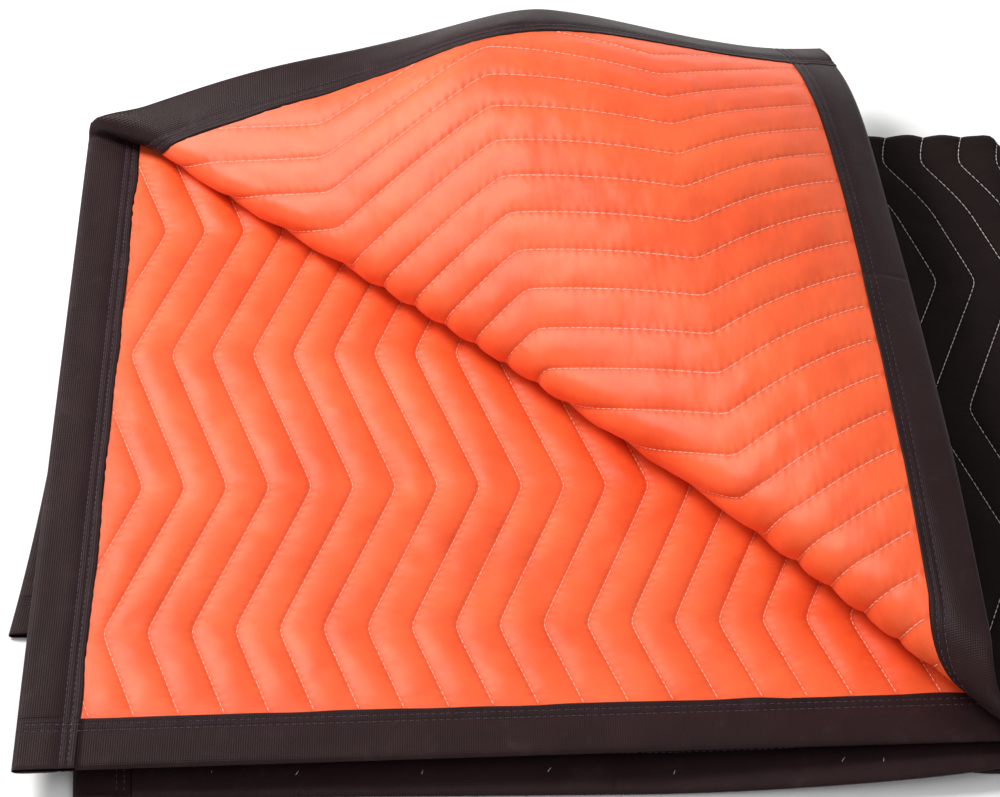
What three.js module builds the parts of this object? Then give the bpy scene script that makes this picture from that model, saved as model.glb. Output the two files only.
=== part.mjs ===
import * as THREE from "three";

// A quilted moving pad, folded in quarters, with the front left corner of its top layer turned back.
// Millimetres. A point of the flat cut is (u, v): u from the left side edge, v from the front edge.
// Folded, x runs to the right, y from the front edge to the back fold, z up from the floor.
// The layers from the floor: outer lower, inner lower, inner upper and outer upper.

const PAD = { width: 2124, depth: 1820 };
const LOFT = { parting: 0.15, stitch: 1.4, crown: 3.3, bound: 1.1, rise: 0.05 };
const BINDING = { width: 59, inner: 2.6, outer: 3.6, lap: 0.6, rim: 1.6, reach: 1.8 };

// Zigzag quilting: line i bends between from + i * pitch and that plus swing, every half period.
const QUILT = { from: -15.5, pitch: 44, swing: 72.7, firstBend: 167.8, half: 199.9 };

// Back fold: at the left edge it lies at depth edge, and from there it draws in to depth middle.
const BACK = { radius: 7, edge: 942, middle: 914, decay: 130 };
// Side fold: the two upper layers turn under together at x = start.
const SIDE = { radius: 7, start: 1040 };
const FLOOR_LAYER = BINDING.outer;
const BASE = FLOOR_LAYER + 2 * BACK.radius + 2 * SIDE.radius;

// The turned-back corner: a roll runs at 45 degrees from the back left corner, and past the roll
// the flap goes back over the layer. A row for each section across the roll, at distance along:
// shift of the crease in the cloth, roll radius, how far the roll stays open, the turns of the
// three strips that follow it, how far the flap slides along the roll for each mm past it, and how
// far the layer has slipped to the right past the back fold.
const STRIP = 190;
const SECTIONS = [
  { along: 0, shift: -4, radius: 10, open: 0.55, first: 0.3, second: 0.3, third: 1.1, slide: 0.2, slip: 30 },
  { along: 160, shift: 23, radius: 19, open: 0.64, first: 0.7, second: 1, third: 1, slide: 0.05, slip: 27 },
  { along: 360, shift: 41, radius: 26, open: 0.8, first: 0.43, second: 1, third: 0.73, slide: -0.09, slip: 32 },
  { along: 620, shift: 56, radius: 29, open: 0.8, first: 0.48, second: 0.65, third: 0.23, slide: -0.16, slip: 31 },
  { along: 900, shift: 55, radius: 38, open: 0.45, first: 0.5, second: 0.25, third: -0.1, slide: -0.215, slip: 20 },
  { along: 1260, shift: 34, radius: 35, open: 0.12, first: 0.4, second: 0.1, third: 0, slide: -0.22, slip: 15 },
];
// The slip grows over this depth past the back fold: least at the edge, most from along onwards.
const SLIP_RISE = { least: 38, most: 150, along: 350 };

// How the layers sag and creep at the open front, as in the photo.
const SAG = { from: 130, upper: 3, lower: 13.8, width: 700 };
const CREEP = { from: 400, upper: 28, lower: 14, foldPower: 10 };
// The lowest layer is drawn back from the front, fully up to x = from and less over the next width.
const DRAWN = { share: 0.205, from: 600, width: 350 };
// Where the left edges of the two lower layers end, measured from the left edge of the upper ones.
const LOWER = { inset: 58, insetPower: 1.3, backInset: 4, outset: 28, outsetPower: 3 };

const HALF_TURN = Math.PI;
const DIAGONAL = Math.SQRT1_2;

function clamp(value, low, high) {
  return Math.min(Math.max(value, low), high);
}

function ease(value) {
  const t = clamp(value, 0, 1);
  return t * t * (3 - 2 * t);
}

// One column of the sections, as a smooth curve along the roll.
function sectionValue(name, along) {
  const last = SECTIONS.length - 1;
  const s = clamp(along, SECTIONS[0].along, SECTIONS[last].along);
  let k = 0;
  while (k < last - 1 && s >= SECTIONS[k + 1].along) k += 1;
  const slope = (i) => {
    const a = SECTIONS[Math.max(i - 1, 0)];
    const b = SECTIONS[Math.min(i + 1, last)];
    return (b[name] - a[name]) / (b.along - a.along);
  };
  const from = SECTIONS[k];
  const to = SECTIONS[k + 1];
  const span = to.along - from.along;
  const t = (s - from.along) / span;
  const rise = t * t * (3 - 2 * t);
  const bends = t * (1 - t) * (1 - t) * slope(k) + t * t * (t - 1) * slope(k + 1);
  return from[name] * (1 - rise) + to[name] * rise + bends * span;
}

// A path of arcs, each a length and a turn: how far it reaches and how high it is at a length.
function alongArcs(length, arcs) {
  let reach = Math.min(length, 0);
  let height = 0;
  let heading = 0;
  let left = Math.max(length, 0);
  for (const [span, turn] of arcs) {
    const step = clamp(left, 0, span);
    const bend = turn / span;
    if (Math.abs(bend) < 1e-9) {
      reach += step * Math.cos(heading);
      height += step * Math.sin(heading);
    } else {
      reach += (Math.sin(heading + bend * step) - Math.sin(heading)) / bend;
      height += (Math.cos(heading) - Math.cos(heading + bend * step)) / bend;
    }
    heading += bend * step;
    left -= step;
  }
  return [reach + left * Math.cos(heading), height + left * Math.sin(heading)];
}

function backFoldAt(u) {
  return BACK.middle + (BACK.edge - BACK.middle) * Math.exp(-Math.max(u, 0) / BACK.decay);
}

// The crease's own section at a point of the cloth: distance along it, past it, and the roll there.
function creaseAt(u, v) {
  const along = (u + v - BACK.edge) * DIAGONAL;
  const radius = Math.max(sectionValue("radius", along), 6);
  const open = sectionValue("open", along);
  const shift = sectionValue("shift", along);
  const roll = (HALF_TURN - open) * radius;
  const past = (v - BACK.edge - u) * DIAGONAL + shift;
  return { along, radius, open, shift, roll, past };
}

// How far the upper layer has slipped to the right past the back fold.
function slipAt(u, v) {
  const along = (u + v - BACK.edge) * DIAGONAL;
  const rise = SLIP_RISE.least + (SLIP_RISE.most - SLIP_RISE.least) * ease(along / SLIP_RISE.along);
  return sectionValue("slip", along) * ease((v - backFoldAt(u)) / rise);
}

// The upper two layers before the side fold: the cloth goes back, over the back fold and forward
// again, and its corner rolls over the diagonal and goes back. Height is above the inner layer.
function upperLayers(u, v) {
  const crease = creaseAt(u, v);
  const halfRoll = crease.roll / 2;
  const length = crease.past + halfRoll;
  const [reach, lift] = alongArcs(length, [
    [crease.roll, HALF_TURN - crease.open],
    [STRIP, sectionValue("first", crease.along)],
    [STRIP, sectionValue("second", crease.along)],
    [STRIP, sectionValue("third", crease.along)],
  ]);
  const across = reach - halfRoll - crease.shift;
  const slid = crease.along + sectionValue("slide", crease.along) * Math.max(length - crease.roll, 0);
  const fold = backFoldAt(u);
  const x = (slid - across) * DIAGONAL + slipAt(u, v);
  const flatY = BACK.edge + (slid + across) * DIAGONAL;
  const quarter = (HALF_TURN * BACK.radius) / 2;
  const turn = clamp((v - fold) / BACK.radius + HALF_TURN / 2, 0, HALF_TURN);
  let y = v;
  if (turn > 0) y = fold - quarter + BACK.radius * Math.sin(turn);
  if (turn >= HALF_TURN) y = fold - quarter - (v - fold - quarter);
  return [
    x,
    y + (flatY - v) * Math.cos(turn),
    BACK.radius * (1 - Math.cos(turn)) + (turn > 0 ? lift : 0),
  ];
}

// Where the side fold starts on the cut at depth v, and how much of the cloth it takes up.
function sideFoldStart(v) {
  return SIDE.start - slipAt(SIDE.start, v);
}

function sideFoldLength(v) {
  const raised = v > backFoldAt(SIDE.start) ? 2 * BACK.radius : 0;
  return HALF_TURN * (SIDE.radius + raised);
}

// Where the left edge of the lower layers ends at depth v of the cut.
function lowerEdge(v) {
  const front = clamp(1 - v / BACK.middle, 0, 1);
  const outer = clamp((v - BACK.middle) / (PAD.depth - BACK.middle), 0, 1);
  return (
    LOWER.backInset +
    (LOWER.inset - LOWER.backInset) * front ** LOWER.insetPower -
    LOWER.outset * outer ** LOWER.outsetPower
  );
}

// The mid-surface of the folded pad at a point of the cut.
function folded(u, v) {
  const [x, y, height] = upperLayers(u, v);
  const axis = BASE - SIDE.radius;
  const bend = SIDE.radius + height;
  const arc = HALF_TURN * bend;
  const past = x - SIDE.start;
  const front = ease(1 - v / SAG.from);
  const creep = ease(1 - v / CREEP.from);
  if (past <= 0) {
    const sag = SAG.upper * front * clamp(1 - x / SAG.width, 0, 1);
    return [x, y + CREEP.upper * creep * (x / SIDE.start), BASE + height - sag];
  }
  if (past < arc) {
    const angle = past / bend;
    return [
      SIDE.start + bend * Math.sin(angle),
      y + CREEP.upper * creep,
      axis + bend * Math.cos(angle),
    ];
  }
  const spread = (SIDE.start - lowerEdge(v)) / (PAD.width + slipAt(u, v) - SIDE.start - arc);
  const inward = SIDE.start - (past - arc) * spread;
  const nearness = clamp(inward / SIDE.start, 0, 1) ** CREEP.foldPower;
  const creepY = (CREEP.upper * nearness - CREEP.lower * (1 - nearness)) * creep;
  const drawn = 1 - ease((inward - DRAWN.from) / DRAWN.width);
  const back = v > BACK.middle ? DRAWN.share * drawn * (BACK.middle - y) : 0;
  return [inward, y + creepY + back, axis - bend - SAG.lower * front * drawn];
}

// A point at a height above or below the mid-surface; beyond an edge it runs straight on.
function offset(u, v, height) {
  const step = 1.5;
  const uIn = clamp(u, 0, PAD.width);
  const vIn = clamp(v, 0, PAD.depth);
  const u0 = clamp(uIn - step, 0, PAD.width - 2 * step);
  const v0 = clamp(vIn - step, 0, PAD.depth - 2 * step);
  const pointAt = (a, b) => new THREE.Vector3(...folded(a, b));
  const alongU = pointAt(u0 + 2 * step, vIn).sub(pointAt(u0, vIn));
  const alongV = pointAt(uIn, v0 + 2 * step).sub(pointAt(uIn, v0));
  const normal = new THREE.Vector3().crossVectors(alongU, alongV).normalize();
  return pointAt(uIn, vIn)
    .addScaledVector(alongU.normalize(), u - uIn)
    .addScaledVector(alongV.normalize(), v - vIn)
    .addScaledVector(normal, height);
}

// The quilting line i at depth v.
function quiltLine(i, v) {
  const phase = Math.abs(((v - QUILT.firstBend) / QUILT.half) % 2);
  const wave = phase > 1 ? 2 - phase : phase;
  return QUILT.from + i * QUILT.pitch + QUILT.swing * wave;
}

const MID_BINDING = BINDING.width / 2;
const RIGHT_BINDING = PAD.width - BINDING.width;
const FAR_BINDING = PAD.depth - BINDING.width;
const NARROW = 6;
const SIDE_STEPS = 5;
const UPPER_LINES = { first: 1, last: 22 };
const LOWER_LINES = { first: 27, last: 45, step: 3 };
// The rolled cloth crosses the far edge past here, where both faces keep every column.
const ROLL_ZONE = 680;

// Columns of the mesh: straight under the bindings and at the side fold, on the quilting lines and
// halfway between them elsewhere. kept marks those that the inner faces also have.
function buildColumns() {
  const columns = [];
  const straight = (at) => columns.push({ at, kept: true, crown: false, plain: true });
  straight(() => 0);
  straight(() => MID_BINDING);
  straight(() => BINDING.width);
  const upper = 2 * (UPPER_LINES.last - UPPER_LINES.first);
  for (let k = 0; k <= upper; k += 1) {
    const line = UPPER_LINES.first + k / 2;
    const low = BINDING.width + NARROW * (k + 1);
    const margin = NARROW * (upper + 1 - k);
    const crown = k % 2 === 1;
    const zone = line * QUILT.pitch > ROLL_ZONE;
    const at = (v) => clamp(quiltLine(line, v), low, sideFoldStart(v) - margin);
    columns.push({ at, kept: !crown || zone, crown, plain: false });
  }
  for (let k = 0; k <= SIDE_STEPS; k += 1) {
    straight((v) => sideFoldStart(v) + (sideFoldLength(v) * k) / SIDE_STEPS);
  }
  const widest = SIDE.start + HALF_TURN * (SIDE.radius + 2 * BACK.radius);
  const lower = (LOWER_LINES.last - LOWER_LINES.first) / LOWER_LINES.step;
  for (let k = 0; k <= lower; k += 1) {
    const line = LOWER_LINES.first + k * LOWER_LINES.step;
    const low = widest + NARROW * (k + 1);
    const high = RIGHT_BINDING - NARROW * (lower + 1 - k);
    const at = (v) => clamp(quiltLine(line, v), low, high);
    columns.push({ at, kept: true, crown: false, plain: false });
  }
  straight(() => RIGHT_BINDING);
  straight(() => PAD.width - MID_BINDING);
  straight(() => PAD.width);
  return columns;
}

const FRONT_ROWS = [0, MID_BINDING, BINDING.width, 110, 167.8, 367.7, 567.6, 767.5, 860];
const BACK_STEPS = 5;
const INNER_ROWS = 2;
const ROLL_ROWS = 6;
const FLAP_ROWS = 6;

// Rows of the mesh, each a depth at a distance u from the left: across the front, over the back
// fold, on to the roll, over it, and on to the far edge.
function buildRows() {
  const rows = FRONT_ROWS.map((v) => () => v);
  const quarter = (HALF_TURN * BACK.radius) / 2;
  for (let k = 0; k <= BACK_STEPS; k += 1) {
    rows.push((u) => backFoldAt(u) + quarter * ((2 * k) / BACK_STEPS - 1));
  }
  const free = INNER_ROWS + ROLL_ROWS + FLAP_ROWS;
  const rollEdge = (u, side) => {
    const crease = creaseAt(u, BACK.edge + u);
    return BACK.edge + u + (side * crease.roll * 0.5 - crease.shift) / DIAGONAL;
  };
  for (let k = 1; k < free; k += 1) {
    rows.push((u) => {
      const start = backFoldAt(u) + quarter;
      const low = start + NARROW * k;
      const high = FAR_BINDING - NARROW * (free - k);
      const near = rollEdge(u, -1);
      const far = rollEdge(u, 1);
      let v = far + ((FAR_BINDING - far) * (k - INNER_ROWS - ROLL_ROWS)) / FLAP_ROWS;
      if (k <= INNER_ROWS + ROLL_ROWS) v = near + ((far - near) * (k - INNER_ROWS)) / ROLL_ROWS;
      if (k <= INNER_ROWS) v = start + ((near - start) * k) / INNER_ROWS;
      return clamp(v, low, high);
    });
  }
  rows.push(() => FAR_BINDING);
  rows.push(() => PAD.depth - MID_BINDING);
  rows.push(() => PAD.depth);
  return rows;
}

const columns = buildColumns();
const rows = buildRows();

// The point of the cut where a column and a row cross.
function crossing(column, row) {
  let u = column.at(PAD.depth / 2);
  let v = row(u);
  for (let pass = 0; pass < 12; pass += 1) {
    u = column.at(v);
    v = row(u);
  }
  return [u, v];
}

const grid = rows.map((row) => columns.map((column) => crossing(column, row)));

function underBinding(u, v) {
  return u <= BINDING.width || u >= RIGHT_BINDING || v <= BINDING.width || v >= FAR_BINDING;
}

// How far a cloth's outer face stands from the mid-surface. It rises slowly from a binding.
function loft(column, u, v, facesFloor) {
  if (underBinding(u, v)) return LOFT.bound;
  if (facesFloor) return FLOOR_LAYER;
  const clear = Math.min(u - BINDING.width, RIGHT_BINDING - u, v - BINDING.width, FAR_BINDING - v);
  const most = Math.min(LOFT.crown, LOFT.bound + LOFT.rise * clear);
  if (column.plain) return Math.min(most, (LOFT.stitch + LOFT.crown) / 2);
  return column.crown ? most : LOFT.stitch;
}

// The lowest layer's underside is flat, because it lies on the floor.
function onFloor(u, v) {
  const sideEnd = sideFoldStart(v) + sideFoldLength(v);
  const backEnd = BACK.middle + (HALF_TURN * BACK.radius) / 2;
  return u > sideEnd - 1 && v > backEnd - 1;
}

class Skin {
  constructor() {
    this.points = [];
    this.faces = [];
  }
  add(point) {
    this.points.push(point.x, point.y, point.z);
    return this.points.length / 3 - 1;
  }
  triangle(a, b, c, flipped) {
    this.faces.push(a, flipped ? c : b, flipped ? b : c);
  }
  quad(a, b, c, d, flipped) {
    this.triangle(a, b, c, flipped);
    this.triangle(a, c, d, flipped);
  }
  // A quad split the way the cloths are: from its corner of least u + v to that of most.
  splitLikeCloth(ids, sums) {
    const least = sums.indexOf(Math.min(...sums));
    const [a, b, c, d] = [0, 1, 2, 3].map((k) => ids[(least + k) % 4]);
    this.quad(a, b, c, d, false);
  }
  mesh(name, colour, roughness) {
    const geometry = new THREE.BufferGeometry();
    geometry.setAttribute("position", new THREE.Float32BufferAttribute(this.points, 3));
    geometry.setIndex(this.faces);
    geometry.computeVertexNormals();
    const material = new THREE.MeshStandardMaterial({ color: colour, roughness, metalness: 0 });
    const mesh = new THREE.Mesh(geometry, material);
    mesh.name = name;
    return mesh;
  }
}

// One cloth with its half of the filling: its outer face is raised between the quilting lines, its
// inner face lies along the mid-surface. side is 1 for the face cloth and -1 for the back cloth.
function clothSkin(side) {
  const skin = new Skin();
  const flipped = side < 0;
  const kept = columns.map((column, i) => i).filter((i) => columns[i].kept);
  const outer = grid.map((line) =>
    line.map(([u, v], i) => skin.add(offset(u, v, side * loft(columns[i], u, v, side < 0 && onFloor(u, v))))),
  );
  const inner = grid.map((line) => {
    const ids = new Map();
    kept.forEach((i) => ids.set(i, skin.add(offset(line[i][0], line[i][1], side * LOFT.parting))));
    return ids;
  });
  for (let j = 0; j + 1 < rows.length; j += 1) {
    for (let i = 0; i + 1 < columns.length; i += 1) {
      skin.quad(outer[j][i], outer[j][i + 1], outer[j + 1][i + 1], outer[j + 1][i], flipped);
    }
    for (let k = 0; k + 1 < kept.length; k += 1) {
      const a = kept[k];
      const b = kept[k + 1];
      skin.quad(inner[j].get(a), inner[j + 1].get(a), inner[j + 1].get(b), inner[j].get(b), flipped);
    }
  }
  // The cloth's own edges, where a stretch of the inner face may meet two of the outer one.
  for (const [j, turned] of [[0, flipped], [rows.length - 1, !flipped]]) {
    for (let k = 0; k + 1 < kept.length; k += 1) {
      const a = kept[k];
      const b = kept[k + 1];
      skin.triangle(inner[j].get(a), outer[j][a + 1], outer[j][a], turned);
      skin.triangle(inner[j].get(a), inner[j].get(b), outer[j][a + 1], turned);
      if (b > a + 1) skin.triangle(inner[j].get(b), outer[j][b], outer[j][a + 1], turned);
    }
  }
  const last = columns.length - 1;
  for (let j = 0; j + 1 < rows.length; j += 1) {
    skin.quad(outer[j][0], outer[j + 1][0], inner[j + 1].get(0), inner[j].get(0), flipped);
    skin.quad(outer[j][last], inner[j].get(last), inner[j + 1].get(last), outer[j + 1][last], flipped);
  }
  return skin;
}

// The section of a binding: distance in from the pad's edge and height from the mid-surface.
const U_SECTION = [
  { inward: BINDING.width, height: BINDING.outer },
  { inward: MID_BINDING, height: BINDING.outer },
  { inward: 0, height: BINDING.outer },
  { inward: -BINDING.rim, height: BINDING.outer / 2 },
  { inward: -BINDING.rim, height: -BINDING.outer / 2 },
  { inward: 0, height: -BINDING.outer },
  { inward: MID_BINDING, height: -BINDING.outer },
  { inward: BINDING.width, height: -BINDING.outer },
  { inward: BINDING.width, height: -BINDING.inner },
  { inward: MID_BINDING, height: -BINDING.inner },
  { inward: -BINDING.lap, height: -BINDING.inner },
  { inward: -BINDING.lap, height: BINDING.inner },
  { inward: MID_BINDING, height: BINDING.inner },
  { inward: BINDING.width, height: BINDING.inner },
];

// A binding strip through stations, each a function from the distance inward to a point of the cut.
function bindingSkin(stations) {
  const skin = new Skin();
  const cuts = stations.map((station) => U_SECTION.map(({ inward }) => station(inward)));
  const sums = cuts.map((ring) => ring.map(([u, v]) => u + v));
  const rings = cuts.map((ring) => ring.map(([u, v], k) => skin.add(offset(u, v, U_SECTION[k].height))));
  const count = U_SECTION.length;
  for (let s = 0; s + 1 < rings.length; s += 1) {
    for (let k = 0; k < count; k += 1) {
      const next = (k + 1) % count;
      skin.splitLikeCloth(
        [rings[s][k], rings[s + 1][k], rings[s + 1][next], rings[s][next]],
        [sums[s][k], sums[s + 1][k], sums[s + 1][next], sums[s][next]],
      );
    }
  }
  // The two ends, which pair each point of the outer path with one of the inner path.
  const pairs = [
    [0, 1, 12, 13],
    [1, 2, 11, 12],
    [2, 3, 11, 11],
    [3, 4, 10, 11],
    [4, 5, 10, 10],
    [5, 6, 9, 10],
    [6, 7, 8, 9],
  ];
  for (const [ring, turned] of [[rings[0], false], [rings[rings.length - 1], true]]) {
    for (const [a, b, c, d] of pairs) {
      skin.triangle(ring[a], ring[b], ring[d], turned);
      if (c !== d) skin.triangle(ring[b], ring[c], ring[d], turned);
    }
  }
  return skin;
}

// Down a side: the strip meets each row where the cloth does, and reaches past both ends.
function sideStations(edge, inwardSign, columnAt) {
  const station = (row, beyond) => (inward) => {
    const u = edge + inwardSign * inward;
    const [, v] = row[columnAt(inward)];
    return [u, v + beyond];
  };
  return [
    station(grid[0], -BINDING.reach),
    ...grid.map((row) => station(row, 0)),
    station(grid[grid.length - 1], BINDING.reach),
  ];
}

// Along the front or far edge, between the side strips.
function endStations(edge, inwardSign, rowAt) {
  const first = 2;
  const last = columns.length - 3;
  const stations = [];
  for (let i = first; i <= last; i += 1) {
    if (!columns[i].kept) continue;
    stations.push((inward) => {
      let [u] = grid[rowAt(inward)][i];
      if (i === first) u += BINDING.lap;
      if (i === last) u -= BINDING.lap;
      return [u, edge + inwardSign * inward];
    });
  }
  return stations;
}

function inwardIndex(inward, count, fromEnd) {
  const steps = inward >= BINDING.width ? 2 : inward > 0 ? 1 : 0;
  return fromEnd ? count - 1 - steps : steps;
}

const COLOUR = { face: "#f4622f", back: "#1b1718", binding: "#2e2628" };
const ROUGHNESS = { face: 0.5, back: 0.85, binding: 0.62 };

const pad = new THREE.Group();
pad.name = "moving_pad";
pad.add(clothSkin(1).mesh("face_cloth", COLOUR.face, ROUGHNESS.face));
pad.add(clothSkin(-1).mesh("back_cloth", COLOUR.back, ROUGHNESS.back));

const columnIn = (inward) => inwardIndex(inward, columns.length, false);
const columnFromEnd = (inward) => inwardIndex(inward, columns.length, true);
const rowIn = (inward) => inwardIndex(inward, rows.length, false);
const rowFromEnd = (inward) => inwardIndex(inward, rows.length, true);
const strips = [
  { name: "binding_left", skin: bindingSkin(sideStations(0, 1, columnIn)) },
  { name: "binding_right", skin: bindingSkin(sideStations(PAD.width, -1, columnFromEnd).reverse()) },
  { name: "binding_front", skin: bindingSkin(endStations(0, 1, rowIn).reverse()) },
  { name: "binding_far", skin: bindingSkin(endStations(PAD.depth, -1, rowFromEnd)) },
];
for (const { name, skin } of strips) {
  pad.add(skin.mesh(name, COLOUR.binding, ROUGHNESS.binding));
}

// The origin is the middle of the pad's bounding box, on the floor.
const box = new THREE.Box3().setFromObject(pad);
const middle = box.getCenter(new THREE.Vector3());
for (const mesh of pad.children) {
  mesh.geometry.translate(-middle.x, -middle.y, -box.min.z);
}

export default pad;
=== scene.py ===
import math
import time

import bpy
import numpy as np
from mathutils import Matrix, Vector


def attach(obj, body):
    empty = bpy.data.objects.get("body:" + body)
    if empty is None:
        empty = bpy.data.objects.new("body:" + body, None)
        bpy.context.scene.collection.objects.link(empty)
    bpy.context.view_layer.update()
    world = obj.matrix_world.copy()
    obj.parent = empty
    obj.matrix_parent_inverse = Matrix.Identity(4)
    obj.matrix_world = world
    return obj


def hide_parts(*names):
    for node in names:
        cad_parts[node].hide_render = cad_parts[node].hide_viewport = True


started = time.time()


# Prints a stage's name and the seconds since the start.
def report(stage):
    print(f"{stage}: {time.time() - started:.1f} s")


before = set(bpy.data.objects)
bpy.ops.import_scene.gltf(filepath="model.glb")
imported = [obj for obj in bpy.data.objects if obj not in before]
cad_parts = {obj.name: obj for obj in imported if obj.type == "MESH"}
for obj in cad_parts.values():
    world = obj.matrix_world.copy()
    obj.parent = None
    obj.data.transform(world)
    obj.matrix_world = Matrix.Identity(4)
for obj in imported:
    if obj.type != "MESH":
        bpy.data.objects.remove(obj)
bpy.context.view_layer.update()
report("frame loaded")

rng = np.random.default_rng(11)             # uneven starts and lengths of the stitches

# The flat cut of the pad in millimetres: u from the left edge, v from the front edge.
cut = {
    "width": 2124.0, "depth": 1820.0,
    "base": 31.6,                           # height of the uppermost flat layer's middle
    "floorGap": 0.2,
    "centre": (518.794, 510.583),           # the frame's origin in the folded pad's own x and y
}
# Zigzag quilting lines: spacing along u, how far they swing, and where they bend along v.
quilt = {
    "start": -15.5, "pitch": 44.0, "swing": 72.7,
    "firstBend": 167.8, "half": 199.9, "softBend": 7.0,
}
backFold = {"radius": 7.0, "edge": 942.0, "middle": 914.0, "decay": 130.0}
sideFold = {"radius": 7.0, "start": 1040.0}
# How the layers sag, creep and draw back towards the front.
front = {
    "sagFrom": 130.0, "upperSag": 3.0, "lowerSag": 13.8, "sagWidth": 700.0,
    "upperCreep": 28.0, "lowerCreep": 14.0, "creepFrom": 400.0, "foldPower": 10,
    "drawn": 0.205, "drawnFrom": 600.0, "drawnWidth": 350.0,
}
lower = {"inset": 58.0, "power": 1.3, "backInset": 4.0, "outset": 28.0, "outsetPower": 3.0}
slip = {"least": 38.0, "most": 150.0, "along": 350.0}   # depth over which the slipped layer moves aside

# Sections across the turned-back roll: distance along it, then its size and the turns that follow.
roll = {
    "along": [0, 160, 360, 620, 900, 1260],
    "shift": [-4, 23, 41, 56, 55, 34],
    "radius": [10, 19, 26, 29, 38, 35],
    "open": [0.55, 0.64, 0.8, 0.8, 0.45, 0.12],
    "first": [0.3, 0.7, 0.43, 0.48, 0.5, 0.4],
    "second": [0.3, 1, 1, 0.65, 0.25, 0.1],
    "third": [1.1, 1, 0.73, 0.23, -0.1, 0],
    "slide": [0.2, 0.05, -0.09, -0.16, -0.215, -0.22],
    "slip": [30, 27, 32, 31, 20, 15],
    "strip": 190.0,                         # length of each of the three turns after the roll
    "least": 6.0,                           # smallest radius
}
binding = {"width": 59.0, "reach": 1.8, "cutWidth": 125.0}
diagonal = math.sqrt(0.5)


# 0 below 0, 1 above 1 and t * t * (3 - 2 * t) between them.
def ease(value):
    t = np.clip(value, 0, 1)
    return t * t * (3 - 2 * t)


# Cubic between the table's rows, each slope taken from the rows on both sides of it.
def rollValue(name, along):
    at = np.array(roll["along"], float)
    value = np.array(roll[name], float)
    before = np.maximum(np.arange(len(at)) - 1, 0)
    after = np.minimum(np.arange(len(at)) + 1, len(at) - 1)
    slope = (value[after] - value[before]) / (at[after] - at[before])
    s = np.clip(along, at[0], at[-1])
    k = np.clip(np.searchsorted(at, s, side="right") - 1, 0, len(at) - 2)
    span = at[k + 1] - at[k]
    t = (s - at[k]) / span
    rise = t * t * (3 - 2 * t)
    bends = t * (1 - t) ** 2 * slope[k] + t * t * (t - 1) * slope[k + 1]
    return value[k] * (1 - rise) + value[k + 1] * rise + bends * span


# Reach and height of a path made of arcs: each adds (sin h1 - sin h0) / bend and (cos h0 - cos h1) / bend.
def alongArcs(length, arcs):
    reach = np.minimum(length, 0.0)
    height = np.zeros_like(length)
    heading = np.zeros_like(length)
    left = np.maximum(length, 0.0)
    for span, turn in arcs:
        step = np.clip(left, 0, span)
        bend = np.where(np.abs(turn / span) < 1e-7, 1e-7, turn / span)
        after = heading + bend * step
        reach = reach + (np.sin(after) - np.sin(heading)) / bend
        height = height + (np.cos(heading) - np.cos(after)) / bend
        heading = after
        left = left - step
    return reach + left * np.cos(heading), height + left * np.sin(heading)


# Distances along the crease and past it: (u + v - edge) and (v - edge - u), each times diagonal.
def creaseAxes(u, v):
    return (u + v - backFold["edge"]) * diagonal, (v - backFold["edge"] - u) * diagonal


# v of the back fold: middle + (edge - middle) * exp(-u / decay).
def backFoldAt(u):
    bow = backFold["edge"] - backFold["middle"]
    return backFold["middle"] + bow * np.exp(-np.maximum(u, 0) / backFold["decay"])


# How far the layer over the fold has slipped to the right: the roll's slip, eased in behind the fold.
def slipAt(u, v):
    along, _ = creaseAxes(u, v)
    rise = slip["least"] + (slip["most"] - slip["least"]) * ease(along / slip["along"])
    return rollValue("slip", along) * ease((v - backFoldAt(u)) / rise)


# The two upper layers: over the back fold and forward, then round the diagonal roll and back.
def upperLayers(u, v):
    along, past = creaseAxes(u, v)
    radius = np.maximum(rollValue("radius", along), roll["least"])
    turned = math.pi - rollValue("open", along)
    shift = rollValue("shift", along)
    rollLength = turned * radius
    length = past + shift + rollLength / 2
    strips = [(roll["strip"], rollValue(name, along)) for name in ("first", "second", "third")]
    reach, lift = alongArcs(length, [(rollLength, turned)] + strips)
    across = reach - rollLength / 2 - shift
    slid = along + rollValue("slide", along) * np.maximum(length - rollLength, 0)
    fold = backFoldAt(u)
    x = (slid - across) * diagonal + slipAt(u, v)
    flatY = backFold["edge"] + (slid + across) * diagonal
    quarter = math.pi * backFold["radius"] / 2
    turn = np.clip((v - fold) / backFold["radius"] + math.pi / 2, 0, math.pi)
    y = np.where(turn > 0, fold - quarter + backFold["radius"] * np.sin(turn), v)
    y = np.where(turn >= math.pi, fold - quarter - (v - fold - quarter), y)
    height = backFold["radius"] * (1 - np.cos(turn)) + np.where(turn > 0, lift, 0)
    return x, y + (flatY - v) * np.cos(turn), height


# x of the lower layers' left edge: backInset + more * near ** power - outset * outer ** outsetPower.
def lowerEdge(v):
    near = np.clip(1 - v / backFold["middle"], 0, 1)
    outer = np.clip((v - backFold["middle"]) / (cut["depth"] - backFold["middle"]), 0, 1)
    more = lower["inset"] - lower["backInset"]
    return lower["backInset"] + more * near ** lower["power"] - lower["outset"] * outer ** lower["outsetPower"]


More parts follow.
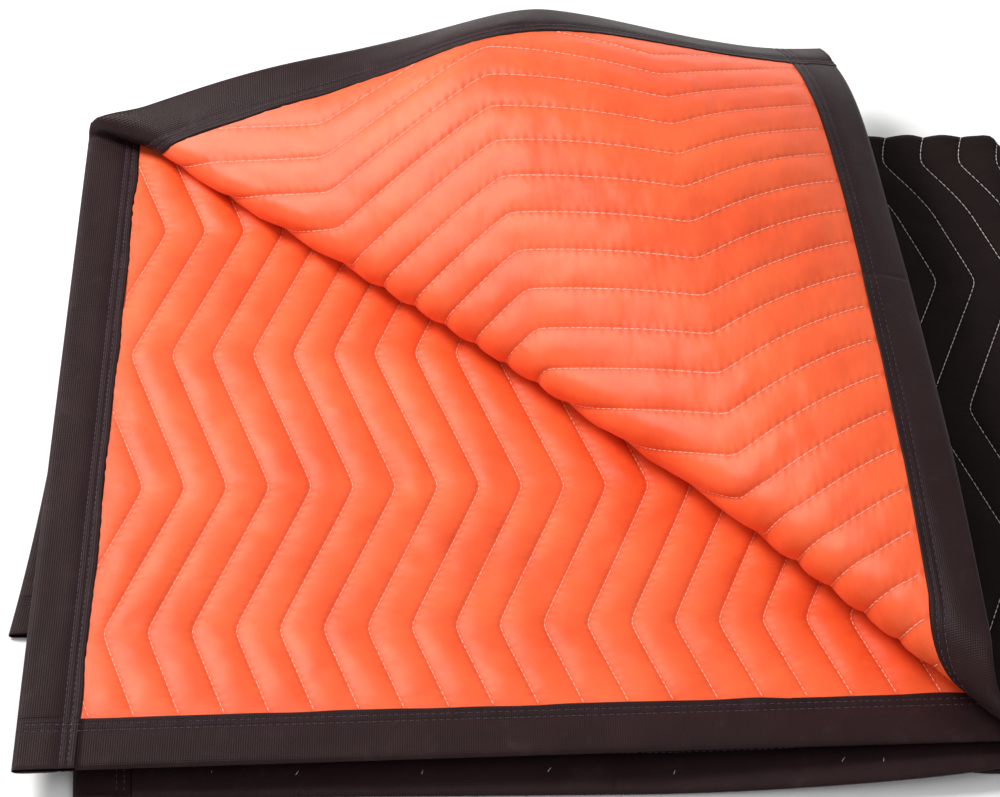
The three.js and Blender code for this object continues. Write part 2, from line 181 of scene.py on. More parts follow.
# The folded mid-surface: past the side fold x turns under it, on a half circle of radius bend.
def folded(u, v):
    x, y, height = upperLayers(u, v)
    axis = cut["base"] - sideFold["radius"]
    bend = sideFold["radius"] + height
    arc = math.pi * bend
    past = x - sideFold["start"]
    droop = ease(1 - v / front["sagFrom"])
    creep = ease(1 - v / front["creepFrom"])
    sag = front["upperSag"] * droop * np.clip(1 - x / front["sagWidth"], 0, 1)
    upperY = y + front["upperCreep"] * creep * (x / sideFold["start"])
    flat = (x, upperY, cut["base"] + height - sag)
    angle = np.clip(past / bend, 0, math.pi)
    turnedX = sideFold["start"] + bend * np.sin(angle)
    turned = (turnedX, y + front["upperCreep"] * creep, axis + bend * np.cos(angle))
    spread = (sideFold["start"] - lowerEdge(v)) / (cut["width"] + slipAt(u, v) - sideFold["start"] - arc)
    inward = sideFold["start"] - (past - arc) * spread
    near = np.clip(inward / sideFold["start"], 0, 1) ** front["foldPower"]
    creepY = (front["upperCreep"] * near - front["lowerCreep"] * (1 - near)) * creep
    drawn = 1 - ease((inward - front["drawnFrom"]) / front["drawnWidth"])
    back = np.where(v > backFold["middle"], front["drawn"] * drawn * (backFold["middle"] - y), 0)
    under = (inward, y + creepY + back, axis - bend - front["lowerSag"] * droop * drawn)
    layers = zip(flat, turned, under)
    return np.stack([np.where(past <= 0, a, np.where(past < arc, b, c)) for a, b, c in layers], -1)


# Points at a height from the mid-surface, along its normal, in the frame's metres.
def surfacePoints(u, v, height):
    u, v = np.broadcast_arrays(np.asarray(u, float), np.asarray(v, float))
    step = 1.5                              # half the distance between the points that give a slope
    uIn = np.clip(u, 0, cut["width"])
    vIn = np.clip(v, 0, cut["depth"])
    u0 = np.clip(uIn - step, 0, cut["width"] - 2 * step)
    v0 = np.clip(vIn - step, 0, cut["depth"] - 2 * step)
    alongU = folded(u0 + 2 * step, vIn) - folded(u0, vIn)
    alongV = folded(uIn, v0 + 2 * step) - folded(uIn, v0)
    normal = np.cross(alongU, alongV)
    normal /= np.linalg.norm(normal, axis=-1, keepdims=True)
    alongU /= np.linalg.norm(alongU, axis=-1, keepdims=True)
    alongV /= np.linalg.norm(alongV, axis=-1, keepdims=True)
    p = folded(uIn, vIn) + alongU * (u - uIn)[..., None] + alongV * (v - vIn)[..., None]
    p = p + normal * np.broadcast_to(height, u.shape)[..., None]
    p[..., 0] -= cut["centre"][0]
    p[..., 1] -= cut["centre"][1]
    p[..., 2] = np.maximum(p[..., 2], cut["floorGap"])
    return p / 1000


# Smooth noise of about -1 to 1: random values on a lattice, eased between its points.
def softNoise(u, v, sizeU, sizeV, seed):
    side = 64
    lattice = np.random.default_rng(seed).uniform(-1, 1, (side, side))
    a = np.asarray(u) / sizeU
    b = np.asarray(v) / sizeV
    i = np.floor(a).astype(int)
    j = np.floor(b).astype(int)
    s = ease(a - i)
    t = ease(b - j)
    i0, i1, j0, j1 = i % side, (i + 1) % side, j % side, (j + 1) % side
    near = lattice[i0, j0] * (1 - s) + lattice[i1, j0] * s
    far = lattice[i0, j1] * (1 - s) + lattice[i1, j1] * s
    return near * (1 - t) + far * t


# A triangle wave along v whose corners are rounded over softBend.
def zigzag(v):
    phase = (np.asarray(v) - quilt["firstBend"]) / quilt["half"]
    whole = np.mod(phase, 2.0)
    low = np.minimum(whole, 2 - whole)
    soft = quilt["softBend"] / quilt["half"]
    high = 1 - np.sqrt(low * low + soft * soft)
    return 1 - np.sqrt(high * high + soft * soft)


# u of a quilting line at v: start + line * pitch + swing * zigzag(v).
def lineAt(line, v):
    return quilt["start"] + line * quilt["pitch"] + quilt["swing"] * zigzag(v)


# Objects are made at the origin, unturned: their place is in their mesh.
def newObject(name, data):
    obj = bpy.data.objects.new(name, data)
    bpy.context.scene.collection.objects.link(obj)
    return obj


# A mesh from arrays: points as rows of x, y, z and quads as rows of four point numbers.
def arrayMesh(name, points, quads, material, uv=None, values=None):
    mesh = bpy.data.meshes.new(name)
    mesh.vertices.add(len(points))
    mesh.vertices.foreach_set("co", np.asarray(points, np.float32).ravel())
    mesh.loops.add(quads.size)
    mesh.loops.foreach_set("vertex_index", quads.astype(np.int32).ravel())
    mesh.polygons.add(len(quads))
    mesh.polygons.foreach_set("loop_start", np.arange(0, quads.size, 4, dtype=np.int32))
    mesh.polygons.foreach_set("use_smooth", np.ones(len(quads), bool))
    mesh.update(calc_edges=True)
    mesh.validate()
    if uv is not None:
        layer = mesh.uv_layers.new(name="UVMap")
        layer.data.foreach_set("uv", np.asarray(uv, np.float32)[quads.ravel()].ravel())
    for key, value in (values or {}).items():
        layer = mesh.attributes.new(key, "FLOAT", "POINT")
        layer.data.foreach_set("value", np.asarray(value, np.float32))
    mesh.materials.append(material)
    return newObject(name, mesh)


# Quads of a grid whose point number is row * columns + column, turned over when flipped.
def gridQuads(rows, columns, flipped=False, wrap=False):
    j = np.arange(rows - 1)[:, None]
    i = np.arange(columns if wrap else columns - 1)[None, :]
    right = (i + 1) % columns
    a = j * columns + i
    b = j * columns + right
    c = (j + 1) * columns + right
    d = (j + 1) * columns + i
    order = [a, d, c, b] if flipped else [a, b, c, d]
    return np.stack([x.ravel() for x in order], -1)


# A shader socket: an expression on it adds the Math node that works it out.
class Wire:
    def __init__(self, graph, socket):
        self.graph = graph
        self.socket = socket

    def math(self, operation, *others):
        values = dict(enumerate((self,) + others))
        return self.graph.node("ShaderNodeMath", {"operation": operation}, values)

    def __add__(self, other):
        return self.math("ADD", other)

    def __radd__(self, other):
        return self.math("ADD", other)

    def __sub__(self, other):
        return self.math("SUBTRACT", other)

    def __rsub__(self, other):
        return self.graph.wire(other).math("SUBTRACT", self)

    def __mul__(self, other):
        return self.math("MULTIPLY", other)

    def __rmul__(self, other):
        return self.math("MULTIPLY", other)

    def __truediv__(self, other):
        return self.math("DIVIDE", other)

    # A wave of the given length: sin(2 * pi * value / length).
    def sine(self, length):
        return (self * (2 * math.pi / length)).math("SINE")


# One material's nodes.
class Graph:
    def __init__(self, name):
        self.material = bpy.data.materials.new(name)
        self.material.use_nodes = True
        self.tree = self.material.node_tree
        self.tree.nodes.clear()

    # Links a wire to a socket, or sets the socket's own value.
    def feed(self, slot, value):
        if isinstance(value, Wire):
            self.tree.links.new(value.socket, slot)
        else:
            slot.default_value = value

    # Any node: its settings first, then its inputs by name or number.
    def node(self, kind, settings=None, inputs=None, output=0):
        node = self.tree.nodes.new(kind)
        for key, value in (settings or {}).items():
            setattr(node, key, value)
        for key, value in (inputs or {}).items():
            self.feed(node.inputs[key], value)
        return Wire(self, node.outputs[output])

    def wire(self, value):
        number = self.node("ShaderNodeValue")
        number.socket.default_value = value
        return number

    def mix(self, share, a, b):
        return self.node("ShaderNodeMix", {"data_type": "RGBA"}, {0: share, 6: a, 7: b}, output=2)

    def noise(self, vector, scale, detail=2.0, rough=0.5):
        return self.node("ShaderNodeTexNoise", {}, {
            "Vector": vector, "Scale": scale, "Detail": detail, "Roughness": rough,
        })

    # Noise stretched along the piece: scales are for u and v.
    def stretched(self, u, v, scales, detail, rough=0.5):
        place = self.node("ShaderNodeCombineXYZ", {}, {0: u * scales[0], 1: v * scales[1]})
        return self.noise(place, 1.0, detail, rough)

    def smooth(self, value, low, high):
        return self.node("ShaderNodeMapRange", {"interpolation_type": "SMOOTHSTEP"},
                         {"Value": value, "From Min": low, "From Max": high})

    # The UV map as a vector and as its two parts.
    def uvParts(self):
        uv = self.node("ShaderNodeUVMap", {"uv_map": "UVMap"})
        parts = [self.node("ShaderNodeSeparateXYZ", {}, {0: uv}, output=k) for k in (0, 1)]
        return uv, parts[0], parts[1]

    def attribute(self, name):
        return self.node("ShaderNodeAttribute", {"attribute_name": name}, output=2)

    def bump(self, height, strength=1.0, distance=0.001):
        return self.node("ShaderNodeBump", {}, {"Strength": strength, "Distance": distance, "Height": height})

    def finish(self, shader):
        out = self.tree.nodes.new("ShaderNodeOutputMaterial")
        self.feed(out.inputs[0], shader)
        return self.material


# Linear colour from red, green and blue in hexadecimal: ((c + 0.055) / 1.055) ** 2.4 above 0.04045.
def rgb(hexColour):
    parts = [int(hexColour[k:k + 2], 16) / 255 for k in (0, 2, 4)]
    return tuple(c / 12.92 if c <= 0.04045 else ((c + 0.055) / 1.055) ** 2.4 for c in parts) + (1.0,)


# Scales along u and v of what shows in every cloth, in waves for each metre, and distances in metres.
grain = {
    "slub": (75.0, 620.0), "fibre": (900.0, 160.0), "wrinkle": (24.0, 44.0),
    "cloud": 9.0, "fine": 90.0, "puckerStep": 0.0105, "puckerReach": 0.011,
}


# Woven quilted cloth, with shade painted into the troughs beside its seams. UV is in metres of the cut, line
# counts quilting lines across it.
def clothMaterial(name, look):
    g = Graph(name)
    uv, u, v = g.uvParts()
    part = g.attribute("line").math("FRACT")
    seam = part.math("MINIMUM", 1.0 - part) * (quilt["pitch"] / 1000)      # metres to the nearest seam
    weave = u.sine(look["weave"]) * v.sine(look["weave"])
    slubs = g.stretched(u, v, grain["slub"], 3.0)
    fibres = g.stretched(u, v, grain["fibre"], 2.0)
    wrinkle = g.stretched(u, v, grain["wrinkle"], 1.6, 0.4)
    cloudy = g.noise(uv, grain["cloud"], 4.0, 0.6)
    fine = g.noise(uv, grain["fine"], 3.0, 0.6)
    # near is 1 at a seam and falls to 0 a little way from it: the mask of the shade painted into the seam troughs.
    near = 1.0 - g.smooth(seam, 0.0, look["paintedShadeWidth"])
    shade = (cloudy - 0.5) * look["cloud"] + (slubs - 0.5) * look["slub"] + (fibres - 0.5) * look["fibre"] + 0.5
    colour = g.mix(shade.math("MAXIMUM", 0.0).math("MINIMUM", 1.0), look["dark"], look["light"])
    # Painted shade: the colour darkens towards deep beside each seam, where the trough lies in shade.
    colour = g.mix(near * look["paintedShadeAmount"], colour, look["deep"])
    rough = look["rough"] + (fine - 0.5) * 0.12 + near * 0.08
    pucker = (1.0 - g.smooth(seam, 0.0, grain["puckerReach"])) * v.sine(grain["puckerStep"])
    height = weave * look["weaveDepth"] + slubs * look["slubDepth"]
    height = height + pucker * look["pucker"] + wrinkle * look["wrinkle"]
    return g.finish(g.node("ShaderNodeBsdfPrincipled", {}, {
        "Base Color": colour, "Roughness": rough, "Normal": g.bump(height),
        "Specular IOR Level": look["specular"], "Sheen Weight": look["sheen"],
        "Sheen Roughness": 0.45, "Sheen Tint": look["sheenTint"],
    }))


# Embossed non-woven tape: small diamonds pressed into a soft, slightly shiny sheet, with sheen painted in as
# lighter patches and lighter diamond tops.
def tapeMaterial(name, look):
    g = Graph(name)
    uv, u, v = g.uvParts()
    dots = (u + v).sine(look["diamond"]) * (u - v).sine(look["diamond"])
    cloudy = g.noise(uv, 14.0, 4.0, 0.6)
    fine = g.noise(uv, 700.0, 3.0, 0.65)
    sheenPatches = g.smooth(g.noise(uv, 26.0, 5.0, 0.7), 0.52, 0.78)
    colour = g.mix((cloudy - 0.5) * 1.2 + 0.5, look["dark"], look["light"])
    # Painted sheen: lighter patches and lighter diamond tops stand in for the tape's glints.
    colour = g.mix(sheenPatches * 0.35 + g.smooth(dots, 0.2, 0.9) * 0.15, colour, look["paintedSheen"])
    rough = look["rough"] + (fine - 0.5) * 0.2 + (cloudy - 0.5) * 0.15
    height = dots * look["emboss"] + fine * 0.25 + cloudy * 0.9
    return g.finish(g.node("ShaderNodeBsdfPrincipled", {}, {
        "Base Color": colour, "Roughness": rough, "Normal": g.bump(height),
        "Specular IOR Level": look["specular"], "Sheen Weight": look["sheen"],
        "Sheen Roughness": 0.5, "Sheen Tint": look["sheenTint"],
    }))


# Twisted thread: turned is 1 on the turned-back corner, where the thread takes its turned colour as painted light,
# a paler copy for the pale thread and a darker, shaded copy for the tape thread.
def threadMaterial(name, light, turned, dark):
    g = Graph(name)
    place = g.node("ShaderNodeTexCoord", output=3)
    cloudy = g.noise(place, 40.0, 3.0)
    twist = g.noise(place, 3000.0, 2.0)
    # Painted light: the turned colour is a lit or shaded copy of the same thread on the turned-back corner.
    colour = g.mix(cloudy, rgb(dark), g.mix(g.attribute("turned"), rgb(light), rgb(turned)))
    return g.finish(g.node("ShaderNodeBsdfPrincipled", {}, {
        "Base Color": colour, "Roughness": 0.6 + (twist - 0.5) * 0.2, "Normal": g.bump(twist, 0.6, 0.0003),
    }))


# In each look, deep is the shade colour painted into the troughs beside the seams.
faceLook = {
    "light": rgb("ff6f3c"), "dark": rgb("e8481b"), "deep": rgb("c23510"), "sheenTint": rgb("ffb48c"),
    "weave": 0.0011, "weaveDepth": 0.05, "slubDepth": 0.05, "pucker": 0.25, "wrinkle": 1.5,
    "cloud": 1.4, "slub": 0.4, "fibre": 0.2, "paintedShadeWidth": 0.007, "paintedShadeAmount": 0.3,
    "rough": 0.4, "specular": 0.36, "sheen": 0.05,
}
backLook = {
    "light": rgb("261c1b"), "dark": rgb("140e0d"), "deep": rgb("0a0707"), "sheenTint": rgb("6a5f5f"),
    "weave": 0.0013, "weaveDepth": 0.08, "slubDepth": 0.25, "pucker": 0.4, "wrinkle": 1.6,
    "cloud": 0.8, "slub": 0.8, "fibre": 0.5, "paintedShadeWidth": 0.006, "paintedShadeAmount": 0.3,
    "rough": 0.85, "specular": 0.08, "sheen": 0.02,
}
# The lightest colour here is painted sheen, laid on patches and diamond tops.
tapeLook = {
    "light": rgb("301f20"), "dark": rgb("211617"), "paintedSheen": rgb("443435"), "sheenTint": rgb("80707a"),
    "diamond": 0.0046, "emboss": 0.16, "rough": 0.4, "specular": 0.07, "sheen": 0.01,
}
faceCloth = clothMaterial("orangeCloth", faceLook)
backCloth = clothMaterial("blackCloth", backLook)
tape = tapeMaterial("boundEdge", tapeLook)
# The turned colours are painted light of the turned-back corner: a paler copy of the pale thread, a darker copy of
# the tape thread.
paleThread = threadMaterial("paleThread", light="ffc9ac", turned="ffdac8", dark="ffaa84")
greyThread = threadMaterial("greyThread", light="ddd6d3", turned="ddd6d3", dark="a39a98")
tapeThread = threadMaterial("tapeThread", light="6a5470", turned="4a3b50", dark="33283c")
report("materials")

# The quilted cloths. Steps are places between two lines, close together at the seam.
cloth = {
    "inset": 24.0,                          # how far inside the cut's edge the cloth ends, under the tape
    "upperSteps": [0, 0.05, 0.13, 0.26, 0.42, 0.58, 0.74, 0.87, 0.95],
    "lowerSteps": [0, 0.2, 0.5, 0.8],
    "firstLine": -2, "upperTo": 24, "lastLine": 50,
    "rowStep": 6.4,
    "stitch": 1.2, "crown": 5.6, "turnedCrown": 3.8, "backCrown": 3.8, "under": 1.2, "least": 0.7,
    "plump": 0.8, "besideTape": 34.0, "flatShare": 0.25,
    "fuller": (0.22, 90, 60),               # uneven filling: share, then size along u and v
    "ripple": 0.9,
    "ripples": [(26, 17, 5), (60, 34, 6)],  # size across and along the lines, and seed
}


# Soft creases and dents: which side, from (u, v) to (u, v), half width and depth.
creases = [
    (1, 352, 428, 372, 352, 11, 1.9),
    (1, 384, 412, 396, 340, 9, -1.2),
    (1, 372, 300, 396, 262, 13, 1.6),
    (1, 416, 300, 436, 248, 12, -1.4),
    (1, 462, 262, 452, 196, 12, 1.8),
    (1, 498, 238, 520, 176, 13, 1.5),
    (1, 296, 96, 330, 74, 12, 1.9),
    (1, 236, 92, 262, 70, 10, 1.4),
    (1, 520, 110, 556, 74, 14, 2.0),
    (1, 586, 122, 604, 72, 11, 1.4),
    (1, 676, 108, 700, 72, 12, 1.5),
    (1, 742, 100, 792, 84, 12, 1.3),
    (1, 72, 150, 100, 176, 12, 1.5),
    (1, 68, 300, 96, 318, 10, 1.3),
    (1, 70, 470, 104, 452, 11, 1.2),
    (1, 120, 560, 160, 590, 14, 1.2),
    (1, 84, 700, 118, 690, 10, 1.4),
    (1, 250, 520, 262, 470, 13, 1.0),
    (1, 560, 330, 580, 280, 14, 1.1),
    (1, 96, 1050, 150, 1090, 12, 1.6),
    (1, 130, 1170, 196, 1188, 13, 1.5),
    (1, 220, 1260, 290, 1268, 14, 1.5),
    (1, 300, 1330, 350, 1366, 14, 1.6),
    (1, 210, 1400, 214, 1470, 16, 1.0),
    (1, 420, 1470, 470, 1500, 15, 1.4),
    (1, 360, 1600, 430, 1610, 16, 1.0),
    (1, 560, 1640, 620, 1668, 14, 1.3),
    (-1, 1190, 1580, 1290, 1600, 12, 1.3),
    (-1, 900, 1060, 1010, 1100, 14, 1.2),
    (-1, 880, 1180, 1000, 1170, 13, 1.4),
    (-1, 920, 1300, 1020, 1330, 12, 1.2),
    (-1, 940, 1460, 1030, 1450, 13, 1.3),
    (-1, 900, 1560, 1000, 1590, 12, 1.1),
]


# Each crease lowers the face by depth * exp(-(distance / width) ** 2); distance is to its straight line.
def creasedBy(u, v, side):
    total = np.zeros_like(u)
    for creasedSide, fromU, fromV, toU, toV, width, depth in creases:
        if creasedSide != side:
            continue
        du, dv = toU - fromU, toV - fromV
        share = np.clip(((u - fromU) * du + (v - fromV) * dv) / (du * du + dv * dv), 0, 1)
        away = np.hypot(u - fromU - share * du, v - fromV - share * dv)
        total += depth * np.exp(-(away / width) ** 2)
    return total


# How far a point of the cut is on the turned-back corner: eased from 30 mm before the crease to 30 past it.
def turnedAt(u, v):
    return ease((creaseAxes(u, v)[1] + 30) / 60)


# Height of the quilted face: stitch + (crown - stitch) * sin(pi * part) ** plump, lower beside the tape.
def quiltHeight(line, u, v, side):
    part = line - np.floor(line)
    plump = np.sin(math.pi * np.clip(part, 0, 1)) ** cloth["plump"]
    away = np.minimum.reduce([
        u - binding["width"], cut["width"] - binding["width"] - u,
        v - binding["width"], cut["depth"] - binding["width"] - v,
    ])
    free = ease(away / cloth["besideTape"])
    share, long, deep = cloth["fuller"]
    fuller = 1 + share * softNoise(u, v, long, deep, 3 + side)
    crown = cloth["backCrown"]
    if side > 0:
        crown = cloth["crown"] + (cloth["turnedCrown"] - cloth["crown"]) * turnedAt(u, v)
    full = cloth["flatShare"] + (1 - cloth["flatShare"]) * free
    height = cloth["stitch"] + (crown - cloth["stitch"]) * plump * fuller * full
    for across, along, seed in cloth["ripples"]:
        height += cloth["ripple"] * plump * softNoise(line * 60, v, across, along, seed + side) * free
    height = np.maximum(height - creasedBy(u, v, side) * plump * free, cloth["least"])
    return np.where(away < 0, cloth["under"], height)


# The grid follows the quilting: u = lineAt(line, v), held inside the tape.
def quiltedCloth(name, side, material):
    lines = []
    for line in range(cloth["firstLine"], cloth["lastLine"]):
        steps = cloth["upperSteps"] if line < cloth["upperTo"] else cloth["lowerSteps"]
        lines += [line + s for s in steps]
    lines = np.array(lines + [cloth["lastLine"]], float)
    low, high = cloth["inset"], cut["depth"] - cloth["inset"]
    v = np.linspace(low, high, int((high - low) / cloth["rowStep"]))[:, None] + 0 * lines[None, :]
    line = lines[None, :] + 0 * v
    free = lineAt(line, v)
    u = np.clip(free, cloth["inset"], cut["width"] - cloth["inset"])
    height = np.where(free == u, quiltHeight(line, u, v, side), cloth["under"])
    points = surfacePoints(u, v, side * height)
    quads = gridQuads(*u.shape, flipped=side < 0)
    held = (free != u).ravel()
    quads = quads[~held[quads].all(axis=1)]
    used = np.unique(quads)                 # points that a quad still needs, numbered anew
    index = np.full(u.size, -1)
    index[used] = np.arange(len(used))
    uv = np.stack([u / 1000, v / 1000], -1).reshape(-1, 2)[used]
    values = {"line": line.ravel()[used]}
    return arrayMesh(name, points.reshape(-1, 3)[used], index[quads], material, uv, values)


faceCover = quiltedCloth("faceCover", 1, faceCloth)
backCover = quiltedCloth("backCover", -1, backCloth)
for cover, node, slot in ((faceCover, "face_cloth", "face"), (backCover, "back_cloth", "back")):
    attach(cover, "root")
    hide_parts(node)
report("cloths")

# The bound edge: rows are depth in from the pad's edge and height of the tape there.
strip = {
    "profile": [
        (59.0, 1.7), (58.6, 2.6), (57.6, 3.0), (55.0, 3.0), (53.0, 2.5), (51.5, 2.2), (50.0, 2.5), (47.5, 3.1),
        (45.0, 2.5), (43.5, 2.2), (42.0, 2.6), (38.0, 3.5), (31.0, 3.9), (23.0, 3.9), (15.0, 3.8), (8.0, 3.7),
        (3.0, 3.5), (-0.5, 2.6), (-2.2, 1.0),
    ],
    "inner": 1.6, "innerEdge": -0.6, "step": 6.0, "gap": 0.4,
    "rows": (51.5, 43.5),                   # where its two rows of stitches run
    "crossed": [(43.5, 0.7, 2.0), (51.5, 0.7, 2.0), (59.0, 1.3, 1.6)],     # dips: place, depth, half width
    "wobble": 1.6, "wobbleFrom": 48.0,
    "pucker": 0.5, "puckerWidth": 7.0,
    "swells": [(0.7, 70, 25, 500, 2), (0.3, 22, 14, 700, 3)],  # height, size along and across, shift, seed
    "swellFrom": 12.0, "swellTo": 42.0,
    # Where one length of tape ends over the next, and how far the end reaches back over it.
    "joints": {"left": (641.0, 46.0), "far": (430.0, 40.0), "front": (1560.0, 44.0), "right": (1300.0, 44.0)},
    "jointStep": 0.6, "jointRise": 4.0, "jointFade": 14.0,
    "groove": 0.4, "grooveAt": 2.0, "grooveWidth": 2.2,
    "seeds": {"left": 21, "right": 22, "front": 23, "far": 24},
}


# The side strips run along v, the end strips along u.
def isSide(where):
    return where in ("left", "right")


def edgeLength(where):
    return cut["depth"] if isSide(where) else cut["width"]


# The point of the cut at s along an edge and at depth inward from it.
def edgePoint(where, s, inward):
    if isSide(where):
        return (inward if where == "left" else cut["width"] - inward), s
    return s, (inward if where == "front" else cut["depth"] - inward)


# Dips across a strip: the end strips' stitch rows run on over the side strips, and each joint is a step.
def acrossStrip(where, s):
    height = np.zeros_like(s)
    if isSide(where):
        for end in (s, edgeLength(where) - s):
            for at, depth, width in strip["crossed"]:
                height -= depth * np.exp(-((end - at) / width) ** 2)
    at, over = strip["joints"][where]
    step = ease((s - at) / strip["jointRise"]) * (1 - ease((s - at - over) / strip["jointFade"]))
    groove = np.exp(-((s - at + strip["grooveAt"]) / strip["grooveWidth"]) ** 2)
    return height + strip["jointStep"] * step - strip["groove"] * groove


# Distances along a strip: every step, and closer beside its joint and the crossing rows.
def stripRows(where):
    length = edgeLength(where)
    start = -binding["reach"] if isSide(where) else binding["width"] + strip["gap"]
    joint = strip["joints"][where][0]
    near = [np.arange(joint - 7, joint + 6, 1.3)]
    if isSide(where):
        near += [np.arange(39, 64, 1.5), length - np.arange(39, 64, 1.5)]
    s = np.concatenate([np.arange(start, length - start, strip["step"]), [length - start]] + near)
    s = np.unique(np.round(s, 2))
    return s[np.append(np.diff(s) > 0.5, True)]


# A strip is its section (inward, height) carried along the edge; both sides mirror the same rows.
def boundEdge(where):
    top = np.array(strip["profile"])
    outer = np.concatenate([top, top[::-1] * [1, -1]])
    inner = np.stack([
        np.maximum(outer[:, 0], strip["innerEdge"]), np.clip(outer[:, 1], -strip["inner"], strip["inner"]),
    ], -1)
    section = np.concatenate([outer, inner[::-1]])
    s = stripRows(where)[:, None]
    inward = section[None, :, 0] + 0 * s
    height = section[None, :, 1] + 0 * s
    along = s + 0 * inward
    seed = strip["seeds"][where]
    sign = np.sign(height)
    onFace = (np.arange(len(section)) < len(outer))[None, :]
    edgePull = ease((inward - strip["wobbleFrom"]) / 10)
    wobble = strip["wobble"] * softNoise(along, sign * 40, 45, 10, seed) * edgePull
    inward = inward + np.where(onFace, wobble, 0)
    between = sum(strip["rows"]) / 2        # the seam's middle, between its two rows
    inSeam = np.exp(-((inward - between) / strip["puckerWidth"]) ** 2)
    pucker = strip["pucker"] * softNoise(along, inward + 300 * sign, 9, 12, seed + 1) * inSeam
    height = height + np.where(onFace, sign * pucker, 0)
    height = height + np.where(onFace, sign * acrossStrip(where, s) * ease((inward + 2) / 6), 0)
    lowest = strip["inner"] + 0.1
    height = np.where(onFace & (inward > 0), sign * np.maximum(np.abs(height), lowest), height)
    plump = ease(inward / strip["swellFrom"]) * ease((strip["swellTo"] - inward) / 10)
    for size, long, deep, shift, number in strip["swells"]:
        swell = size * softNoise(along, inward + shift * sign, long, deep, seed + number) * plump
        height = height + np.where(onFace, sign * swell, 0)
    u, v = edgePoint(where, along, inward)
    points = surfacePoints(u, v, height)
    path = np.concatenate([[0], np.cumsum(np.hypot(*np.diff(section, axis=0).T))])
    uv = np.stack([along / 1000, path[None, :] / 1000 + 0 * along], -1).reshape(-1, 2)
    # Each end is closed by quads between a point of the outer path and its partner on the inner path.
    rows, columns = u.shape
    k = np.arange(len(outer) - 1)
    nearEnd = np.stack([k, k + 1, columns - 2 - k, columns - 1 - k], -1)
    farEnd = nearEnd[:, ::-1] + (rows - 1) * columns
    flipped = where in ("left", "far")
    if flipped:
        nearEnd, farEnd = nearEnd[:, ::-1], farEnd[:, ::-1]
    walls = gridQuads(rows, columns, flipped=flipped, wrap=True)
    return points.reshape(-1, 3), np.concatenate([walls, nearEnd, farEnd]), uv


for where in ("left", "right", "front", "far"):
    points, quads, uv = boundEdge(where)
    edge = arrayMesh("tape" + where.capitalize(), points, quads, tape, uv)
    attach(edge, "root")
    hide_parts("binding_" + where)
    length = cut["depth"] if isSide(where) else cut["width"] - 2 * binding["width"]
    length / 1000
report("bound edges")

# Stitches: short threads laid on the surface, each dipping into the cloth at both ends.
thread = {
    "quiltPitch": 6.8, "quiltLength": 6.2, "radius": 0.5, "backRadius": 0.52,
    "tapePitch": 7.2, "tapeLength": 5.0, "tapeRadius": 0.36,
    "rings": [0, 0.45, 1.0], "dips": [-0.8, 0.5, -0.8],     # along the stitch, and in radii
    "jitter": 0.1, "shortest": 0.88, "longest": 1.06,
    "above": 0.15,                          # of the cloth at the seam
    "faceLines": range(-1, 25), "backLines": range(-1, 50),
    "backFrom": 900.0,                      # the back cloth shows from here on
    "tapeEnd": 5.0, "tapeHeight": 2.35,
}


# Each stitch is a tube of four corners on three rings, and its two ends dip into the cloth.
def stitches(name, paths, pitch, length, radius, material):
    parts = np.array(thread["rings"])
    dip = np.array(thread["dips"]) * radius
    allPoints = []
    allTurned = []
    allSides = []
    for at, reach, side, height in paths:
        count = int((reach[1] - reach[0]) / pitch)
        if count < 1:
            continue
        jitter = rng.uniform(-thread["jitter"], thread["jitter"], count) * pitch
        starts = reach[0] + pitch * (np.arange(count) + 0.2) + jitter
        lengths = length * rng.uniform(thread["shortest"], thread["longest"], (count, 1))
        s = starts[:, None] + parts[None, :] * lengths
        u, v = at(s)
        ahead = at(s + 0.5)
        du, dv = ahead[0] - u, ahead[1] - v
        size = np.hypot(du, dv)
        acrossU, acrossV = -dv / size, du / size
        corners = []
        for a, b in ((1, 0), (0, 1), (-1, 0), (0, -1)):
            lift = height(u, v) + dip[None, :] + b * radius
            corners.append(surfacePoints(u + a * radius * acrossU, v + a * radius * acrossV, side * lift))
        allPoints.append(np.stack(corners, 2))
        allTurned.append(turnedAt(u, v))
        allSides += [side] * count
    points = np.concatenate(allPoints)
    count, rings = points.shape[:2]
    last = 4 * rings - 4
    ends = np.array([[3, 2, 1, 0], [last, last + 1, last + 2, last + 3]])
    one = np.concatenate([gridQuads(rings, 4, wrap=True), ends])
    quads = one[None] + (np.arange(count) * rings * 4)[:, None, None]
    facesUp = np.array(allSides)[:, None, None] > 0
    quads = np.where(facesUp, quads, quads[:, :, ::-1]).reshape(-1, 4)
    # turned picks where the thread material paints its lit or shaded copy.
    turned = np.repeat(np.concatenate(allTurned).ravel(), 4)
    obj = arrayMesh(name, points.reshape(-1, 3), quads, material, values={"turned": turned})
    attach(obj, "root")
    return obj


# The stretches of one quilting line that lie on the cloth, clear of the tape.
def lineRuns(line, vFrom, vTo, uTo):
    v = np.arange(vFrom, vTo, 2.0)
    u = lineAt(line, v)
    free = (u > binding["width"] + 1) & (u < uTo)
    change = np.flatnonzero(np.diff(np.concatenate([[0], free, [0]])))
    ends = np.minimum(change[1::2], len(v) - 1)
    return list(zip(v[change[::2]], v[ends]))


# A quilting line as a path: (lineAt(line, s), s).
def alongLine(line):
    def at(s):
        return lineAt(line, s), s
    return at


# Height of a stitch on the quilting: just above the cloth at the seam.
def onCloth(u, v):
    return cloth["stitch"] + thread["above"] + 0 * u


# A row of stitches on a strip as a path: s along the edge, row inward from it.
def alongEdge(where, row):
    def at(s):
        return edgePoint(where, s, row + 0 * s)
    return at


# Height of a stitch on a strip, as a function of (u, v).
def onStrip(where):
    def height(u, v):
        return seamLift(where, u, v)
    return height


